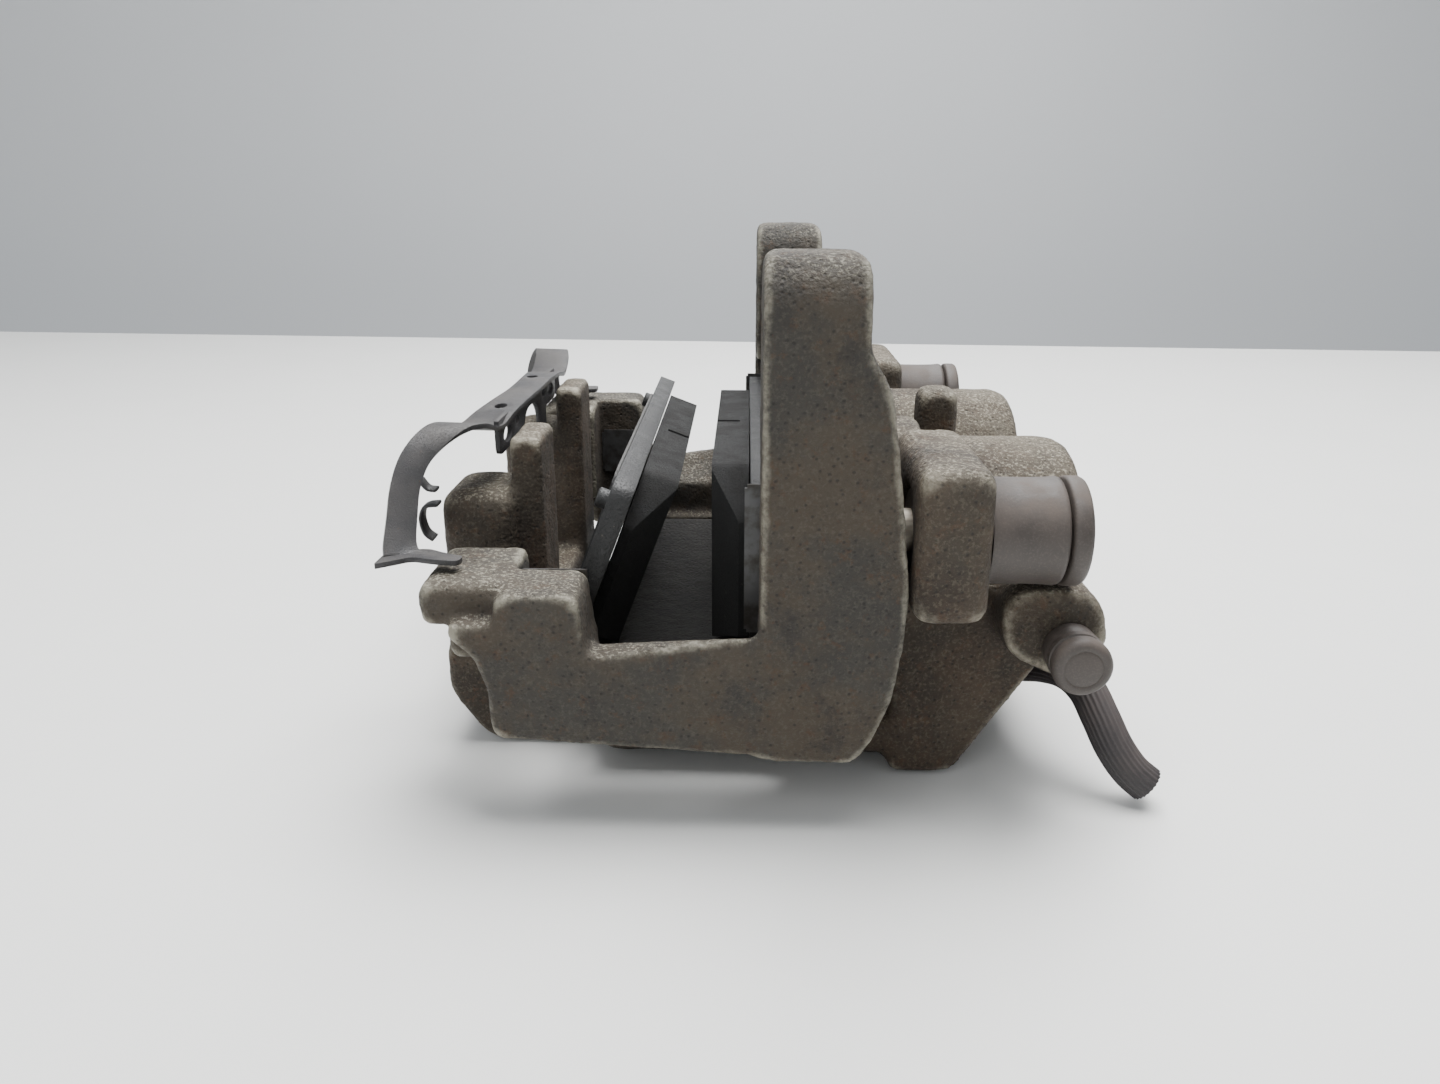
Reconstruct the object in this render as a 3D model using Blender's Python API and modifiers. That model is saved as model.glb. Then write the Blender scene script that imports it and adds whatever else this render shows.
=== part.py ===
"""Twin-piston sliding brake caliper with its carrier and pads, lying on its bridge.

Metres. +X points inboard, towards the cylinders. Y runs along the disc's edge and is
the direction of the pads' length. +Z points up, towards the hub that the disc turns on.
The origin is on the resting plane, under the middle of the caliper.
"""
import math

import bmesh
import bpy
from mathutils import Matrix, Vector

# The disc that the caliper is made for, and the clearances round it.
DISC_CENTRE_Z = 0.187
PAD_OUTER_RADIUS = 0.163
ARM_INNER_RADIUS = 0.167
BRIDGE_TOP_RADIUS = 0.1685
FIT_GAP = 0.0003

# Carrier.
EAR_HEIGHT = 0.147
LEG_OUTER_Y = 0.104
LEG_INNER_Y = 0.070
ARM_INNER_Y = 0.079
STUB_INNER_Y = 0.066
LEG_OUTBOARD_X = 0.0037
LEG_BULGE_X = 0.0403
NEAR_STUB_TOP = 0.0665
FAR_STUB_TOP = 0.078
CHANNEL_HALF_LENGTH = 0.0835
CHANNEL_X = (-0.0600, 0.0125)
BOLT_Y = 0.087
EAR_BOLT_Z = 0.130
EAR_BOLT_HOLE = 0.0065

# Housing.
BRIDGE_HALF_LENGTH = 0.0755
ROOF_HALF_LENGTH = 0.0685
BRIDGE_X = (-0.0400, 0.0562)
CYLINDER_Y = 0.038
CYLINDER_Z = 0.061
CYLINDER_RADIUS = 0.030
CYLINDER_X = (0.018, 0.095)
BORE_RADIUS = 0.0227
FINGER_FACE_X = -0.0588
FINGER_BACK_X = -0.088
LUG_X = (0.0407, 0.0595)
PIN_Z = 0.0785

# Pads.
PAD_HALF_LENGTH = 0.082
PAD_TOP = 0.0885
PLATE_THICKNESS = 0.0060
LINING_THICKNESS = 0.0105
SHIM_THICKNESS = 0.0007
INNER_PLATE_BACK_X = 0.0073
OUTER_PAD_TILT = math.radians(21)
OUTER_PAD_PIVOT = Vector((-0.0552, 0.0, 0.0335))
OUTER_PAD_LIFT = Vector((0.0, 0.0, 0.0040))

# Guide pins, their bushes and caps.
PIN_RADIUS = 0.0055
BUSH_RADIUS = 0.014
BUSH_END_X = 0.079
CAP_END_X = 0.0845

# Bleed screw and brake hose.
BLEED_X = 0.0840
BLEED_Z = 0.0480
BOSS_FACE_Y = -0.0905
BANJO_Z = 0.0195
BANJO_FACE_X = 0.077
HOSE_RADIUS = 0.00525
HOSE_ROUTE = [
    (0.0832, -0.0318, 0.0195),
    (0.0833, -0.0372, 0.0196),
    (0.0848, -0.0460, 0.0222),
    (0.0885, -0.0555, 0.0264),
    (0.0928, -0.0645, 0.0286),
    (0.0964, -0.0720, 0.0268),
    (0.0989, -0.0785, 0.0215),
    (0.1019, -0.0832, 0.0150),
    (0.1060, -0.0860, 0.0094),
    (0.1106, -0.0873, 0.0057),
]
HOSE_POINTS = 22

SIDES = {"near": -1, "far": 1}
PARTS = "brake_caliper"
HELPERS = "cutters"


# ---------------------------------------------------------------- tools

def start_scene():
    for obj in list(bpy.data.objects):
        bpy.data.objects.remove(obj, do_unlink=True)
    for name in (PARTS, HELPERS):
        bpy.context.scene.collection.children.link(bpy.data.collections.new(name))


def material(name, colour, roughness, metallic=0.0):
    made = bpy.data.materials.get(name)
    if made:
        return made
    made = bpy.data.materials.new(name)
    made.use_nodes = True
    shader = made.node_tree.nodes["Principled BSDF"]
    shader.inputs["Base Color"].default_value = (*colour, 1)
    shader.inputs["Roughness"].default_value = roughness
    shader.inputs["Metallic"].default_value = metallic
    made.diffuse_color = (*colour, 1)
    return made


def cast_iron():
    return material("cast_iron", (0.16, 0.13, 0.11), 0.8, 0.3)


def bright_steel():
    return material("bright_steel", (0.45, 0.43, 0.40), 0.35, 0.9)


def dark_steel():
    return material("dark_steel", (0.10, 0.09, 0.09), 0.5, 0.7)


def friction_stock():
    return material("friction_lining", (0.05, 0.045, 0.04), 0.9)


def black_rubber():
    return material("rubber", (0.06, 0.045, 0.04), 0.7)


def put(obj, collection):
    bpy.data.collections[collection].objects.link(obj)
    if collection == HELPERS:
        obj.hide_render = True
        obj.display_type = "WIRE"
    return obj


def piece(name, mesh, finish):
    """A visible sub-part."""
    obj = bpy.data.objects.new(name, mesh)
    mesh.materials.clear()
    mesh.materials.append(finish)
    mesh.shade_smooth()
    mesh.set_sharp_from_angle(angle=math.radians(35))
    return put(obj, PARTS)


def helper(mesh):
    """A shape that only joins or cuts another."""
    return put(bpy.data.objects.new("helper_" + mesh.name, mesh), HELPERS)


def mesh_from(made, name):
    bmesh.ops.recalc_face_normals(made, faces=made.faces)
    mesh = bpy.data.meshes.new(name)
    made.to_mesh(mesh)
    made.free()
    return mesh


def rounded(corners, steps=4):
    """The outline through corners (u, v, radius), with each corner turned into an arc."""
    outline = []
    count = len(corners)
    for index, (u, v, radius) in enumerate(corners):
        here = Vector((u, v))
        if radius <= 0:
            outline.append(here)
            continue
        before = Vector(corners[index - 1][:2]) - here
        after = Vector(corners[(index + 1) % count][:2]) - here
        half = before.angle(after) / 2
        reach = min(radius / math.tan(half), 0.49 * before.length, 0.49 * after.length)
        radius = reach * math.tan(half)
        centre = here + (before.normalized() + after.normalized()).normalized() * (radius / math.sin(half))
        first = here + before.normalized() * reach - centre
        last = here + after.normalized() * reach - centre
        turn = first.angle_signed(last)
        for step in range(steps + 1):
            outline.append(centre + Matrix.Rotation(-turn * step / steps, 2) @ first)
    return outline


def prism(outline, axis, low, high, name="prism"):
    """A flat outline, pushed along X, Y or Z from low to high."""
    flat = bpy.data.curves.new(name, "CURVE")
    flat.dimensions = "2D"
    flat.fill_mode = "BOTH"
    flat.extrude = (high - low) / 2
    line = flat.splines.new("POLY")
    line.points.add(len(outline) - 1)
    for point, (u, v) in zip(line.points, outline):
        point.co = (u, v, 0, 1)
    line.use_cyclic_u = True
    shape = bpy.data.objects.new(name, flat)
    bpy.context.scene.collection.objects.link(shape)
    graph = bpy.context.evaluated_depsgraph_get()
    mesh = bpy.data.meshes.new_from_object(shape.evaluated_get(graph))
    bpy.data.objects.remove(shape)
    made = bmesh.new()
    made.from_mesh(mesh)
    bpy.data.meshes.remove(mesh)
    bmesh.ops.remove_doubles(made, verts=made.verts, dist=1e-6)
    bmesh.ops.dissolve_limit(made, angle_limit=math.radians(0.5), verts=made.verts, edges=made.edges)
    turned_to = {
        "X": Matrix(((0, 0, 1), (1, 0, 0), (0, 1, 0))),
        "Y": Matrix(((1, 0, 0), (0, 0, -1), (0, 1, 0))),
        "Z": Matrix.Identity(3),
    }[axis]
    along = Vector(("X" == axis, "Y" == axis, "Z" == axis)) * ((low + high) / 2)
    bmesh.ops.transform(made, matrix=Matrix.Translation(along) @ turned_to.to_4x4(), verts=made.verts)
    return mesh_from(made, name)


def block(low, high, edge=0.0, segments=2, name="block"):
    """A box between two corners, with its edges rounded."""
    made = bmesh.new()
    low = Vector(low)
    high = Vector(high)
    size = Matrix.Diagonal((high - low).to_4d())
    bmesh.ops.create_cube(made, size=1, matrix=Matrix.Translation((low + high) / 2) @ size)
    if edge:
        bmesh.ops.bevel(made, geom=made.edges[:], offset=edge, segments=segments, profile=0.5,
                        affect="EDGES", clamp_overlap=True)
    return mesh_from(made, name)


def rod(start, end, radius, sides=32, edge=0.0, name="rod"):
    """A round bar between two points."""
    made = bmesh.new()
    start = Vector(start)
    end = Vector(end)
    place = Matrix.Translation((start + end) / 2) @ (end - start).to_track_quat("Z", "Y").to_matrix().to_4x4()
    bmesh.ops.create_cone(made, cap_ends=True, segments=sides, radius1=radius, radius2=radius,
                          depth=(end - start).length, matrix=place)
    if edge:
        rims = [e for e in made.edges if len(e.link_faces) == 2 and any(len(f.verts) > 4 for f in e.link_faces)]
        bmesh.ops.bevel(made, geom=rims, offset=edge, segments=2, profile=0.5, affect="EDGES")
    return mesh_from(made, name)


def turned(name, profile, at, towards, finish, steps=28):
    """A turned piece: profile points (radius, height) run down its outer side, and the
    height is measured from the point at, in the direction towards."""
    made = bmesh.new()
    points = [made.verts.new((radius, 0, height)) for radius, height in profile]
    hollow = profile[0][0] > 0 and profile[-1][0] > 0
    for first, second in zip(points, points[1:]):
        made.edges.new((first, second))
    if hollow:
        made.edges.new((points[-1], points[0]))
    mesh = bpy.data.meshes.new(name)
    made.to_mesh(mesh)
    made.free()
    obj = piece(name, mesh, finish)
    obj.location = at
    obj.rotation_mode = "QUATERNION"
    obj.rotation_quaternion = Vector(towards).to_track_quat("Z", "Y")
    lathe = obj.modifiers.new("lathe", "SCREW")
    lathe.steps = steps
    lathe.render_steps = steps
    lathe.use_merge_vertices = True
    lathe.merge_threshold = 0.00001
    lathe.use_smooth_shade = True
    return obj


def combine(obj, operation, meshes):
    for mesh in meshes:
        step = obj.modifiers.new(operation.lower(), "BOOLEAN")
        step.operation = operation
        step.solver = "EXACT"
        step.object = helper(mesh)
    return obj


def soften(obj, width, segments=2):
    edge = obj.modifiers.new("edges", "BEVEL")
    edge.width = width
    edge.segments = segments
    edge.limit_method = "ANGLE"
    edge.angle_limit = math.radians(40)
    return obj


def settled(obj):
    """The object's mesh with its modifiers applied, and the object removed."""
    bpy.context.view_layer.update()
    graph = bpy.context.evaluated_depsgraph_get()
    mesh = bpy.data.meshes.new_from_object(obj.evaluated_get(graph))
    bpy.data.objects.remove(obj)
    return mesh


def softened(mesh, width, segments=2):
    """A copy of the mesh with its sharp edges rounded."""
    return settled(soften(helper(mesh), width, segments))


def arc(radius, half_length, steps):
    """Points (y, z) along a circle about the disc's centre, under it, from -Y to +Y."""
    reach = math.asin(half_length / radius)
    angles = [reach * (2 * step / steps - 1) for step in range(steps + 1)]
    return [(radius * math.sin(turn), DISC_CENTRE_Z - radius * math.cos(turn)) for turn in angles]


def sided(side, first, second):
    """Low and high Y of a stretch given as two distances from the centre plane."""
    return sorted((SIDES[side] * first, SIDES[side] * second))


# ---------------------------------------------------------------- carrier

def carrier_leg(side):
    """The ear for the knuckle's bolt, and the leg below it with the guide pin's boss."""
    across = rounded([
        (LEG_OUTBOARD_X, EAR_HEIGHT, 0.003),
        (0.0284, EAR_HEIGHT, 0.004),
        (0.0284, 0.1255, 0.006),
        (0.0340, 0.1155, 0.008),
        (0.0376, 0.0905, 0.030),
        (LEG_BULGE_X, 0.0660, 0.020),
        (0.0393, 0.0520, 0.015),
        (0.0374, 0.0385, 0.015),
        (0.0332, 0.0275, 0.008),
        (0.0285, 0.0202, 0.004),
        (LEG_OUTBOARD_X, 0.0208, 0.0),
    ], 3)
    low, high = sided(side, LEG_INNER_Y, LEG_OUTER_Y)
    leg = helper(prism(across, "Y", low, high, "leg_" + side))
    along = rounded([
        (low, EAR_HEIGHT + 0.001, 0.014),
        (high, EAR_HEIGHT + 0.001, 0.014),
        (high, 0.0150, 0.006),
        (low, 0.0150, 0.006),
    ], 5)
    combine(leg, "INTERSECT", [prism(along, "X", -0.01, 0.06, "lobe_" + side)])
    return settled(soften(leg, 0.0016))


def carrier_arm(side):
    """The arm over the disc's edge, up to the front of its outboard stub."""
    outline = rounded([
        (-0.0648, 0.0262, 0.003),
        (-0.0656, 0.0411, 0.010),
        (-0.0687, 0.0494, 0.008),
        (-0.0745, 0.0540, 0.0),
        (-0.0745, 0.0580, 0.0),
        (-0.0625, 0.0580, 0.0),
        (-0.0625, 0.0660, 0.004),
        (-0.0410, 0.0660, 0.004),
        (-0.0396, 0.0494, 0.002),
        (LEG_OUTBOARD_X, 0.0560, 0.003),
        (0.0250, 0.0560, 0.0),
        (0.0250, 0.0204, 0.0),
    ], 3)
    low, high = sided(side, ARM_INNER_Y, LEG_OUTER_Y)
    return softened(prism(outline, "Y", low, high, "arm_" + side), 0.0016)


def carrier_stub(side, top):
    """The outboard end: a lip that hangs over, and the block that the pad's end runs in."""
    lip_low, lip_high = sided(side, STUB_INNER_Y, 0.0985)
    block_low, block_high = sided(side, STUB_INNER_Y, 0.0860)
    return [
        block((-0.0828, lip_low, 0.0548), (-0.0580, lip_high, top), 0.0030, 3, "lip_" + side),
        block((-0.0795, block_low, 0.0400), (-0.0500, block_high, top - 0.0005), 0.0025, 2, "end_" + side),
    ]


def carrier():
    far_crown = block((-0.0815, STUB_INNER_Y, 0.0600), (-0.0425, LEG_OUTER_Y - 0.001, FAR_STUB_TOP),
                      0.0035, 3, "crown")
    tie_bar = block((0.0100, -0.074, 0.1000), (0.0265, 0.074, 0.1180), 0.0045, 3, "tie_bar")
    body = piece("carrier", carrier_leg("near"), cast_iron())
    parts = [tie_bar, carrier_leg("far"), far_crown]
    for side in SIDES:
        parts.append(carrier_arm(side))
        parts.extend(carrier_stub(side, NEAR_STUB_TOP))
    combine(body, "UNION", parts)
    disc_room = rod((-0.0390, 0, DISC_CENTRE_Z), (LEG_OUTBOARD_X - 0.0002, 0, DISC_CENTRE_Z),
                    ARM_INNER_RADIUS, 96, name="disc_room")
    channel = block((CHANNEL_X[0], -CHANNEL_HALF_LENGTH, 0.0300), (CHANNEL_X[1], CHANNEL_HALF_LENGTH, 0.0960),
                    name="pad_channel")
    holes = []
    for side, way in SIDES.items():
        y = way * BOLT_Y
        holes.append(rod((-0.01, y, EAR_BOLT_Z), (0.05, y, EAR_BOLT_Z), EAR_BOLT_HOLE, 20, name="bolt_" + side))
        holes.append(rod((0.0130, y, PIN_Z), (0.05, y, PIN_Z), PIN_RADIUS + FIT_GAP, 20, name="thread_" + side))
    combine(body, "DIFFERENCE", [disc_room, channel, *holes])


# ---------------------------------------------------------------- housing

def bridge():
    """The wide inboard part of the roof over the disc's edge, hollowed to the disc's circle."""
    roof = [(y, z, 0.0) for y, z in arc(BRIDGE_TOP_RADIUS, ROOF_HALF_LENGTH, 14)]
    end = [(ROOF_HALF_LENGTH, 0.0180, 0.0), (BRIDGE_HALF_LENGTH, 0.0180, 0.003),
           (BRIDGE_HALF_LENGTH, 0.0085, 0.005), (0.0620, 0.0, 0.010)]
    outline = rounded([*roof, *end, *((-y, z, radius) for y, z, radius in reversed(end))], 3)
    return softened(prism(outline, "X", *BRIDGE_X, "bridge"), 0.0012)


def bridge_end():
    """The narrower outboard part of the roof, rounded up into the fingers' backs."""
    outline = rounded([
        (-0.0120, 0.0005, 0.0),
        (-0.0120, 0.0180, 0.0),
        (-0.0600, 0.0180, 0.0),
        (-0.0600, 0.0340, 0.003),
        (-0.0880, 0.0340, 0.003),
        (-0.0888, 0.0170, 0.014),
        (-0.0770, 0.0005, 0.010),
    ], 3)
    return softened(prism(outline, "Y", -0.0590, 0.0590, "bridge_end"), 0.0015)


def housing_skirt():
    """The sloping underside that carries the two cylinders on the bridge."""
    outline = rounded([
        (0.0190, 0.0065, 0.0),
        (0.0400, 0.0011, 0.0),
        (0.0572, 0.0011, 0.005),
        (0.0815, 0.0356, 0.006),
        (0.0815, 0.0620, 0.006),
        (0.0190, 0.0620, 0.0),
    ], 3)
    return softened(prism(outline, "Y", -0.0640, 0.0640, "skirt"), 0.0015)


def skirt_wings():
    """The skirt's wider foot, which fills the corner under the two pin lugs."""
    outline = rounded([
        (0.0414, 0.0014, 0.002),
        (0.0592, 0.0014, 0.006),
        (0.0809, 0.0350, 0.006),
        (0.0809, 0.0600, 0.005),
        (0.0414, 0.0600, 0.002),
    ], 3)
    return softened(prism(outline, "Y", -0.0762, 0.0762, "wings"), 0.0012)


def bleed_boss():
    """The cast lump beside the near cylinder that the bleed screw goes into."""
    outline = rounded([
        (0.0655, 0.0634, 0.009),
        (0.0918, 0.0634, 0.012),
        (0.0948, 0.0475, 0.009),
        (0.0855, 0.0370, 0.008),
        (0.0680, 0.0450, 0.010),
    ], 4)
    return softened(prism(outline, "Y", BOSS_FACE_Y, -0.0450, "boss"), 0.0015)


def fingers(side):
    """One finger: a thick root outboard, and the thinner plate whose face presses the pad."""
    low, high = sided(side, 0.0270, 0.0570)
    plate_low, plate_high = sided(side, 0.0265, 0.0505)
    return [
        block((FINGER_BACK_X, low, 0.0200), (-0.0660, high, 0.0785), 0.0060, 3, "finger_root_" + side),
        block((-0.0680, plate_low, 0.0100), (FINGER_FACE_X, plate_high, 0.0930), 0.0012, 1, "finger_" + side),
    ]


def housing():
    body = piece("housing", housing_skirt(), cast_iron())
    parts = [skirt_wings(), bridge(), bridge_end(), bleed_boss()]
    cuts = []
    for side, way in SIDES.items():
        y = way * CYLINDER_Y
        pin_y = way * BOLT_Y
        lug_low, lug_high = sided(side, 0.0560, 0.1060)
        parts.extend([
            rod((CYLINDER_X[0], y, CYLINDER_Z), (CYLINDER_X[1], y, CYLINDER_Z), CYLINDER_RADIUS, 32, 0.006,
                "cylinder_" + side),
            rod((0.0412, y, CYLINDER_Z), (0.0505, y, CYLINDER_Z), 0.0358, 32, 0.0015, "flange_" + side),
            block((LUG_X[0], lug_low, 0.0590), (LUG_X[1], lug_high, 0.0985), 0.0045, 3, "lug_" + side),
            *fingers(side),
        ])
        cuts.extend([
            rod((0.0100, y, CYLINDER_Z), (0.0865, y, CYLINDER_Z), BORE_RADIUS, 32, name="bore_" + side),
            rod((0.0265, y, CYLINDER_Z), (0.0305, y, CYLINDER_Z), 0.0250, 28, name="seal_groove_" + side),
            rod((0.0100, y, CYLINDER_Z), (0.0212, y, CYLINDER_Z), 0.0270, 28, name="boot_groove_" + side),
            rod((0.0300, pin_y, PIN_Z), (0.0700, pin_y, PIN_Z), 0.0108, 24, name="bush_bore_" + side),
        ])
    parts.extend([
        block((0.0300, -0.0150, 0.0450), (0.0780, 0.0150, 0.0780), 0.004, 2, "web"),
        block((0.0555, -0.0075, 0.0600), (0.0685, 0.0075, 0.0993), 0.004, 3, "centre_lug"),
        rod((0.0550, 0, BANJO_Z), (BANJO_FACE_X, 0, BANJO_Z), 0.0095, 24, name="banjo_boss"),
    ])
    cuts.extend([
        rod((0.0600, 0, BANJO_Z), (0.0900, 0, BANJO_Z), 0.0053, 20, name="banjo_hole"),
        rod((BLEED_X, -0.1000, BLEED_Z), (BLEED_X, -0.0690, BLEED_Z), 0.0045, 16, name="bleed_hole"),
    ])
    combine(body, "UNION", parts)
    combine(body, "DIFFERENCE", cuts)


# ---------------------------------------------------------------- pistons

def piston(side):
    """A cup, open towards the pad, with a groove near its mouth for the dust boot."""
    radius = BORE_RADIUS - 0.00015
    at = (0.0087, SIDES[side] * CYLINDER_Y, CYLINDER_Z)
    turned("piston_" + side, [
        (0.0, 0.0480), (radius - 0.001, 0.0480), (radius, 0.0470), (radius, 0.0062), (0.0212, 0.0056),
        (0.0212, 0.0030), (radius, 0.0024), (radius - 0.0005, 0.0), (0.0170, 0.0), (0.0170, 0.0420), (0.0, 0.0420),
    ], at, (1, 0, 0), bright_steel(), 32)
    turned("piston_seal_" + side, [
        (0.0247, 0.0216), (0.0247, 0.0181), (radius + 0.0003, 0.0181), (radius + 0.0003, 0.0216),
    ], at, (1, 0, 0), black_rubber(), 28)
    turned("dust_boot_" + side, [
        (0.0267, 0.0120), (0.0267, 0.0080), (0.0248, 0.0074), (0.0262, 0.0060), (0.0250, 0.0040),
        (radius + 0.0003, 0.0040), (radius + 0.0003, 0.0052), (0.0242, 0.0060), (0.0232, 0.0076), (0.0240, 0.0100),
        (0.0240, 0.0120),
    ], at, (1, 0, 0), black_rubber(), 28)


# ---------------------------------------------------------------- pads

def pad_outline(half_length, top, radius, corner):
    """A pad's outline (y, z): a straight side towards the hub and the disc's arc opposite."""
    low = [(y, z, 0.0) for y, z in arc(radius, half_length, 12)]
    return rounded([*low, (half_length, top, corner), (-half_length, top, corner)], 4)


def pad_plate(name, back_x, way):
    """A backing plate, whose face towards the pistons or fingers is at back_x."""
    low, high = sorted((back_x, back_x - way * PLATE_THICKNESS))
    outline = pad_outline(PAD_HALF_LENGTH, PAD_TOP, PAD_OUTER_RADIUS, 0.004)
    return piece(name, prism(outline, "X", low, high, name), dark_steel())


def pad_lining(name, back_x, way):
    """The friction block, with tapered ends, cut corners and a dust slot across its middle."""
    start = back_x - way * (PLATE_THICKNESS + FIT_GAP)
    end = start - way * LINING_THICKNESS
    low, high = sorted((start, end))
    edge = [(y, z, 0.0) for y, z in arc(PAD_OUTER_RADIUS - 0.001, 0.068, 12)]
    outline = rounded([*edge, (0.068, 0.0740, 0.003), (0.0560, PAD_TOP - 0.001, 0.003),
                       (-0.0560, PAD_TOP - 0.001, 0.003), (-0.068, 0.0740, 0.003)], 2)
    lining = piece(name, prism(outline, "X", low, high, name), friction_stock())
    slot_low, slot_high = sorted((start - way * 0.0030, end - way * 0.002))
    cuts = [block((slot_low, -0.0012, 0.0), (slot_high, 0.0012, 0.12), name="slot")]
    for turn in (-1, 1):
        taper = [(start - way * 0.0020, turn * 0.0690), (end - way * 0.0010, turn * 0.0560),
                 (end - way * 0.0010, turn * 0.0750), (start - way * 0.0020, turn * 0.0750)]
        cuts.append(prism(taper, "Z", 0.0, 0.12, "taper"))
    return combine(lining, "DIFFERENCE", cuts)


def pad_shim(name, back_x, way):
    """A thin sheet on the back of the plate, against squeal."""
    start = back_x + way * FIT_GAP
    low, high = sorted((start, start + way * SHIM_THICKNESS))
    outline = pad_outline(0.060, PAD_TOP - 0.003, PAD_OUTER_RADIUS - 0.003, 0.006)
    return piece(name, prism(outline, "X", low, high, name), bright_steel())


def inner_pad():
    for make, name in ((pad_plate, "plate"), (pad_lining, "lining"), (pad_shim, "shim")):
        make("inner_pad_" + name, INNER_PLATE_BACK_X, 1)


def outer_pad():
    """The outer pad leans inboard at rest: it is made upright and turned about its lower edge."""
    lean = bpy.data.objects.new("outer_pad_tilt", None)
    bpy.data.collections[PARTS].objects.link(lean)
    lean.location = OUTER_PAD_PIVOT
    back_x = OUTER_PAD_PIVOT.x
    plate = pad_plate("outer_pad_plate", back_x, -1)
    pegs = [rod((back_x - 0.0032, y, 0.0800), (back_x + 0.002, y, 0.0800), 0.0028, 14, 0.0005, "peg")
            for y in (-0.0700, 0.0660)]
    combine(plate, "UNION", pegs)
    upright = [plate, pad_lining("outer_pad_lining", back_x, -1), pad_shim("outer_pad_shim", back_x, -1)]
    for made in upright:
        name = made.name
        finish = made.data.materials[0]
        obj = piece(name, settled(made), finish)
        obj.parent = lean
        obj.matrix_parent_inverse = Matrix.Translation(OUTER_PAD_LIFT - OUTER_PAD_PIVOT)
    lean.rotation_euler.y = OUTER_PAD_TILT


def abutment_clip(side, row, x_low, x_high, top):
    """A thin steel liner between a pad's end and the carrier's channel, with one edge turned in."""
    low, high = sided(side, CHANNEL_HALF_LENGTH - 0.0009, CHANNEL_HALF_LENGTH - FIT_GAP)
    lip_low, lip_high = sided(side, CHANNEL_HALF_LENGTH - 0.0012, CHANNEL_HALF_LENGTH - FIT_GAP)
    liner = piece(f"{row}_pad_clip_{side}", block((x_low, low, 0.0480), (x_high, high, top), name="liner"),
                  bright_steel())
    lip = block((x_low - 0.0007, lip_low, 0.0490), (x_low + 0.0002, lip_high, top - 0.001), name="clip_lip")
    return combine(liner, "UNION", [lip])


# ---------------------------------------------------------------- retaining spring

def strap(name, rows, thickness):
    """A bent strip: rows of (one edge's point, the other edge's point) along its length."""
    made = bmesh.new()
    edges = [[made.verts.new(point) for point in row] for row in rows]
    for (a, b), (c, d) in zip(edges, edges[1:]):
        made.faces.new((a, b, d, c))
    mesh = bpy.data.meshes.new(name)
    made.to_mesh(mesh)
    made.free()
    obj = helper(mesh)
    wall = obj.modifiers.new("sheet", "SOLIDIFY")
    wall.thickness = thickness
    wall.offset = 0
    return settled(obj)


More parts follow.
